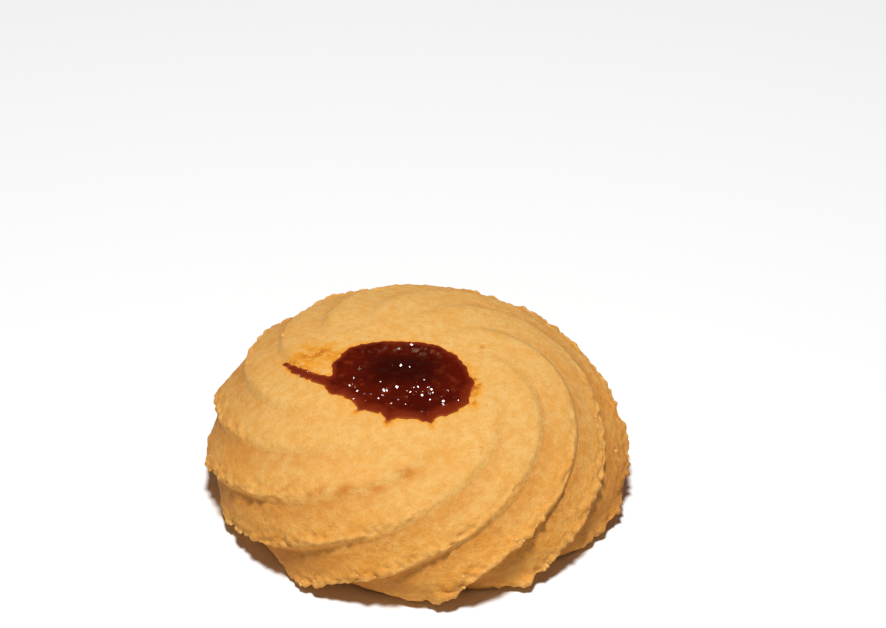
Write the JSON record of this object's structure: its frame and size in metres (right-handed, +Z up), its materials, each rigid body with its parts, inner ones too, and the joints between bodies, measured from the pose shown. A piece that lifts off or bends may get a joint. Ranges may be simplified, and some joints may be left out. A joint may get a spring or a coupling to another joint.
{
  "type": "jam-filled cookie",
  "caption": "Dome-shaped piped shortbread cookie with leaning swirl ridges and a pool of red jam in its crown.",
  "frame": {"origin": "in the flat underside, below the middle of the dome", "axes": "+Z up from the surface the cookie rests on; -Y towards the side with the jam's broad front edge, and -X towards the jam's thin tail"},
  "size_m": [0.0555, 0.0564, 0.0204],
  "materials": {
    "biscuit": "matt golden baked crumb",
    "jam": "wet glossy dark red jam"
  },
  "bodies": {
    "root": {"biscuit": "biscuit", "jam": "jam"}
  },
  "joints": []
}
